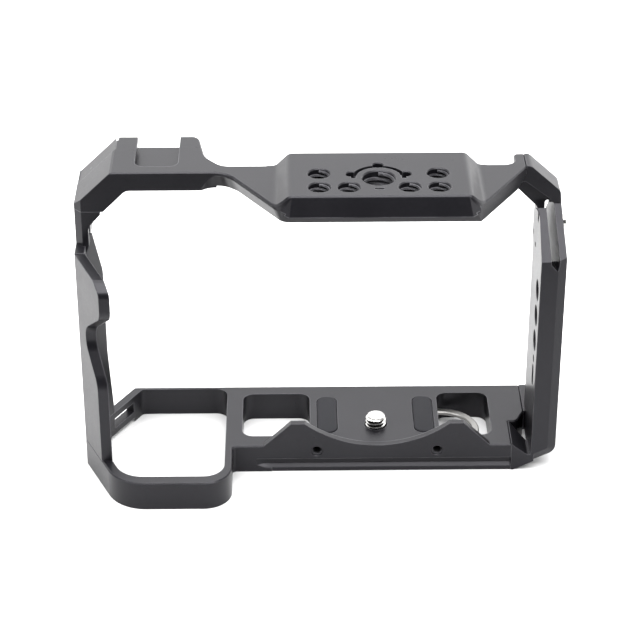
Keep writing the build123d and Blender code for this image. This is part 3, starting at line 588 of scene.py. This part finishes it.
def roundedPad(node):
    # a moulded pad with a soft upper edge, in the place of the plain one
    low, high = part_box(node)
    half = (high.x - low.x) / 2
    centre = (low.x + high.x) / 2
    shape = bmesh.new()
    bmesh.ops.create_circle(shape, cap_ends=True, segments=padForm["around"], radius=half)
    bmesh.ops.translate(shape, verts=shape.verts, vec=(centre, 0, low.z))
    for vert in shape.verts:
        vert.co.y += (high.y - half) if vert.co.y > 0 else (low.y + half)
    walls = bmesh.ops.extrude_face_region(shape, geom=shape.faces[:])
    raised = [item for item in walls["geom"] if isinstance(item, bmesh.types.BMVert)]
    bmesh.ops.translate(shape, verts=raised, vec=(0, 0, high.z - low.z))
    rim = [edge for edge in shape.edges if all(vert in raised for vert in edge.verts)]
    bmesh.ops.bevel(shape, geom=rim, offset=padForm["round"], offset_type="OFFSET", affect="EDGES",
                    segments=padForm["roundSteps"], profile=0.5, material=-1)
    piece = keep(f"{node}_moulded", shape, "cage", "rubber_pad", smooth=50)
    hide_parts(node)


for name in ("left_pad", "right_pad"):
    roundedPad(name)
print("pads done")


studio = {
    "floorSize": 4.0,
    "floorFront": -0.165,
    "floorColour": (0.68, 0.68, 0.68),
    "floorTone": 0.4,
    "floorRoughness": 0.85,
    "floorSpread": 0.1,
    # the light from each part of the room, and between which shares of its direction the part sets in
    "horizon": 0.05,
    "behind": 2.4,
    "behindFrom": (-0.25, 0.55),
    "behindHigh": -0.5,
    "highFrom": (0.0, 0.45),
    "above": 0.6,
    "aboveFrom": (0.55, 0.95),
    "left": 0.3,
    "leftFrom": (-0.2, -0.9),
    "right": 1.1,
    "rightFrom": (0.2, 0.9),
    "backdrop": 1.1,
    "aim": (0, 0, 0.04),
}


def floor():
    shape = bmesh.new()
    bmesh.ops.create_grid(shape, x_segments=1, y_segments=1, size=studio["floorSize"] / 2)
    middle = studio["floorFront"] + studio["floorSize"] / 2
    bmesh.ops.translate(shape, verts=shape.verts, vec=(0, middle, cadBounds[0].z))
    mesh = bpy.data.meshes.new("floor")
    shape.to_mesh(mesh)
    shape.free()
    plane = bpy.data.objects.new("floor", mesh)
    bpy.context.scene.collection.objects.link(plane)
    material, shader, place = startMaterial("paleFloor")
    tone = noise(place, studio["floorTone"], detail=2)
    connect(shader, Base_Color=(*studio["floorColour"], 1),
            Roughness=studio["floorRoughness"] + tone * studio["floorSpread"])
    mesh.materials.append(material)


def surroundings():
    # a bright sweep behind, light walls at the sides and a dim room in front; the eye sees a plain backdrop
    world = bpy.data.worlds.new("studio")
    bpy.context.scene.world = world
    world.use_nodes = True
    tree = world.node_tree
    direction = Wire(tree).node("ShaderNodeTexCoord", output="Generated")
    x, y, z = (direction.node("ShaderNodeSeparateXYZ", {}, {"Vector": direction}, axis) for axis in "XYZ")
    behind = y.between(*studio["behindFrom"])
    light = (studio["horizon"]
             + behind * (studio["behind"] + z.between(*studio["highFrom"]) * studio["behindHigh"])
             + (1 - behind) * z.between(*studio["aboveFrom"]) * studio["above"]
             + x.between(*studio["leftFrom"]) * studio["left"]
             + x.between(*studio["rightFrom"]) * studio["right"])
    seen = direction.node("ShaderNodeLightPath", output="Is Camera Ray")
    connect(tree.nodes["Background"], Color=(1, 1, 1, 1),
            Strength=light * (1 - seen) + seen * studio["backdrop"])


softboxes = {
    "backSoftbox": {"place": (0.10, 0.75, 1.15), "size": (1.6, 0.7), "radiance": 5.0},
    "frontSoftbox": {"place": (-0.10, -0.42, 0.98), "size": (2.0, 0.35), "radiance": 11.0},
    "topSoftbox": {"place": (0.0, 0.0, 1.3), "size": (0.6, 0.5), "radiance": 8.0},
}


def softbox(name, place, size, radiance):
    data = bpy.data.lights.new(name, "AREA")
    data.shape = "RECTANGLE"
    data.size, data.size_y = size
    # the same radiance all over, whatever the size
    data.energy = radiance * math.pi * size[0] * size[1]
    light = bpy.data.objects.new(name, data)
    light.location = place
    light.rotation_euler = (Vector(studio["aim"]) - Vector(place)).to_track_quat("-Z", "Y").to_euler()
    light.visible_camera = False
    bpy.context.scene.collection.objects.link(light)


cameraView = {
    "lens": 121.8,
    "sensor": 36,
    "place": (-0.02583, -0.58068, 0.37370),
    "tilt": math.radians(60),
    "pan": math.radians(-0.8),
}


def camera():
    data = bpy.data.cameras.new("camera")
    data.lens = cameraView["lens"]
    data.sensor_width = cameraView["sensor"]
    eye = bpy.data.objects.new("camera", data)
    eye.location = cameraView["place"]
    eye.rotation_euler = (cameraView["tilt"], 0, cameraView["pan"])
    bpy.context.scene.collection.objects.link(eye)
    bpy.context.scene.camera = eye


floor()
surroundings()
for name, settings in softboxes.items():
    softbox(name, **settings)
camera()
bpy.context.scene.view_settings.view_transform = "Standard"
print("studio done")
